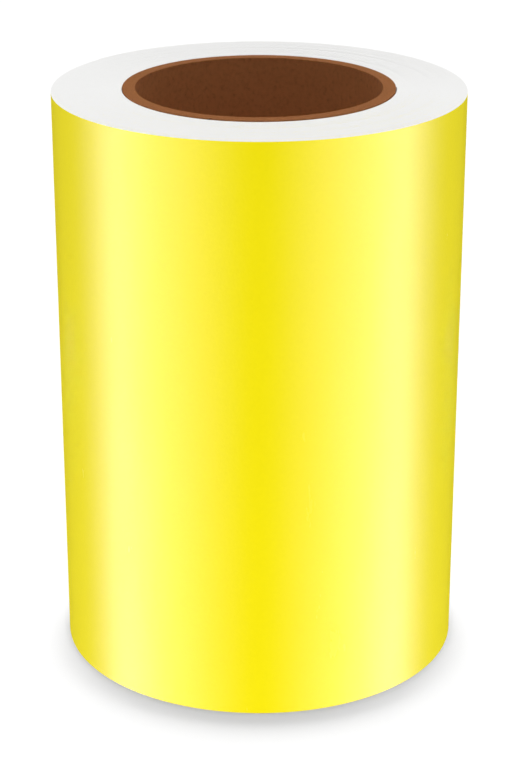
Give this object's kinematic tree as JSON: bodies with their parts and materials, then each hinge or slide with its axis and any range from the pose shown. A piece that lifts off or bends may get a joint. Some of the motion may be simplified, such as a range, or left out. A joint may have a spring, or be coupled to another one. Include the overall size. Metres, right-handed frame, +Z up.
{
  "type": "roll of self-adhesive sign vinyl",
  "caption": "Full roll of self-adhesive sign vinyl: film on a paper release liner, wound on a paperboard core, with a hinged tail, peeling film end and paper tab.",
  "frame": {"origin": "centre of the bottom end face, where the roll stands", "axes": "+Z up along the core's axis; +X to the right and +Y away from a viewer who looks at the plain side; the web winds outwards anticlockwise seen from +Z, and its tail lies on the +Y side"},
  "size_m": [0.1277, 0.1279, 0.1834],
  "materials": {
    "kraft_paperboard": "matte",
    "grey_chipboard": "matte",
    "tissue_tape": "matte",
    "release_liner": "satin",
    "vinyl_film": "satin",
    "wound_web": "satin",
    "paper_tab": "matte"
  },
  "bodies": {
    "roll": {"core_inner_ply": "kraft_paperboard", "core_body_ply_1": "grey_chipboard", "core_body_ply_2": "grey_chipboard", "core_body_ply_3": "grey_chipboard", "core_body_ply_4": "grey_chipboard", "core_body_ply_5": "grey_chipboard", "core_body_ply_6": "grey_chipboard", "core_outer_ply": "kraft_paperboard", "start_tape": "tissue_tape", "liner_first_lap": "release_liner", "film_first_lap": "vinyl_film", "laps_between": "wound_web", "liner_outer_lap": "release_liner", "film_outer_lap": "vinyl_film"},
    "tail_1": {"liner_tail_1": "release_liner", "film_tail_1": "vinyl_film"},
    "tail_2": {"liner_tail_2": "release_liner", "film_tail_2": "vinyl_film"},
    "tail_3": {"liner_tail_3": "release_liner", "film_tail_3": "vinyl_film"},
    "tail_4": {"liner_tail_4": "release_liner", "film_tail_4": "vinyl_film"},
    "tail_5": {"liner_tail_5": "release_liner", "film_tail_5": "vinyl_film"},
    "tail_6": {"liner_tail_6": "release_liner", "film_tail_6": "vinyl_film"},
    "tail_7": {"liner_tail_7": "release_liner", "film_tail_7": "vinyl_film"},
    "tail_tip": {"liner_tip": "release_liner"},
    "film_tip_1": {"film_tip_1": "vinyl_film"},
    "film_tip_2": {"film_tip_2": "vinyl_film"},
    "film_tip_3": {"film_tip_3": "vinyl_film"},
    "film_tip_4": {"film_tip_4": "vinyl_film"},
    "film_tip_5": {"film_tip_5": "vinyl_film"},
    "film_end": {"film_end": "vinyl_film", "tab_held_half": "paper_tab"},
    "tab_free": {"tab_free_half": "paper_tab"}
  },
  "joints": [
    {"name": "tail_lift", "type": "hinge", "parent": "roll", "child": "tail_1", "pos_m": [0.05173, 0.03763, 0.0915], "axis": [0, 0, -1], "range_deg": [0, 4.5]},
    {"name": "tail_bend_2", "type": "hinge", "parent": "tail_1", "child": "tail_2", "pos_m": [0.04278, 0.04758, 0.0915], "axis": [0, 0, -1], "range_deg": [0, 9]},
    {"name": "tail_bend_3", "type": "hinge", "parent": "tail_2", "child": "tail_3", "pos_m": [0.03195, 0.05544, 0.0915], "axis": [0, 0, -1], "range_deg": [0, 9]},
    {"name": "tail_bend_4", "type": "hinge", "parent": "tail_3", "child": "tail_4", "pos_m": [0.01972, 0.06089, 0.0915], "axis": [0, 0, -1], "range_deg": [0, 9]},
    {"name": "tail_bend_5", "type": "hinge", "parent": "tail_4", "child": "tail_5", "pos_m": [0.00663, 0.06367, 0.0915], "axis": [0, 0, -1], "range_deg": [0, 9]},
    {"name": "tail_bend_6", "type": "hinge", "parent": "tail_5", "child": "tail_6", "pos_m": [-0.00675, 0.06367, 0.0915], "axis": [0, 0, -1], "range_deg": [0, 9]},
    {"name": "tail_bend_7", "type": "hinge", "parent": "tail_6", "child": "tail_7", "pos_m": [-0.01984, 0.06089, 0.0915], "axis": [0, 0, -1], "range_deg": [0, 9]},
    {"name": "tail_bend_tip", "type": "hinge", "parent": "tail_7", "child": "tail_tip", "pos_m": [-0.03207, 0.05544, 0.0915], "axis": [0, 0, -1], "range_deg": [0, 4.5]},
    {"name": "film_peel", "type": "hinge", "parent": "tail_tip", "child": "film_tip_1", "pos_m": [-0.03207, 0.05544, 0.0915], "axis": [0, 0, -1], "range_deg": [0, 15]},
    {"name": "film_bend_2", "type": "hinge", "parent": "film_tip_1", "child": "film_tip_2", "pos_m": [-0.03493, 0.05369, 0.0915], "axis": [0, 0, -1], "range_deg": [0, 15]},
    {"name": "film_bend_3", "type": "hinge", "parent": "film_tip_2", "child": "film_tip_3", "pos_m": [-0.03769, 0.05179, 0.0915], "axis": [0, 0, -1], "range_deg": [0, 15]},
    {"name": "film_bend_4", "type": "hinge", "parent": "film_tip_3", "child": "film_tip_4", "pos_m": [-0.04035, 0.04975, 0.0915], "axis": [0, 0, -1], "range_deg": [0, 15]},
    {"name": "film_bend_5", "type": "hinge", "parent": "film_tip_4", "child": "film_tip_5", "pos_m": [-0.0429, 0.04758, 0.0915], "axis": [0, 0, -1], "range_deg": [0, 15]},
    {"name": "film_bend_end", "type": "hinge", "parent": "film_tip_5", "child": "film_end", "pos_m": [-0.04533, 0.04527, 0.0915], "axis": [0, 0, -1], "range_deg": [0, 15]},
    {"name": "tab_peel", "type": "hinge", "parent": "film_end", "child": "tab_free", "pos_m": [-0.05196, 0.03764, 0.0915], "axis": [0, 0, -1], "range_deg": [0, 60]}
  ],
  "couplings": [
    {"joint": "tail_bend_2", "follows": "tail_lift", "ratio": 2},
    {"joint": "tail_bend_3", "follows": "tail_lift", "ratio": 2},
    {"joint": "tail_bend_4", "follows": "tail_lift", "ratio": 2},
    {"joint": "tail_bend_5", "follows": "tail_lift", "ratio": 2},
    {"joint": "tail_bend_6", "follows": "tail_lift", "ratio": 2},
    {"joint": "tail_bend_7", "follows": "tail_lift", "ratio": 2},
    {"joint": "tail_bend_tip", "follows": "tail_lift", "ratio": 1},
    {"joint": "film_bend_2", "follows": "film_peel", "ratio": 1},
    {"joint": "film_bend_3", "follows": "film_peel", "ratio": 1},
    {"joint": "film_bend_4", "follows": "film_peel", "ratio": 1},
    {"joint": "film_bend_5", "follows": "film_peel", "ratio": 1},
    {"joint": "film_bend_end", "follows": "film_peel", "ratio": 1}
  ]
}
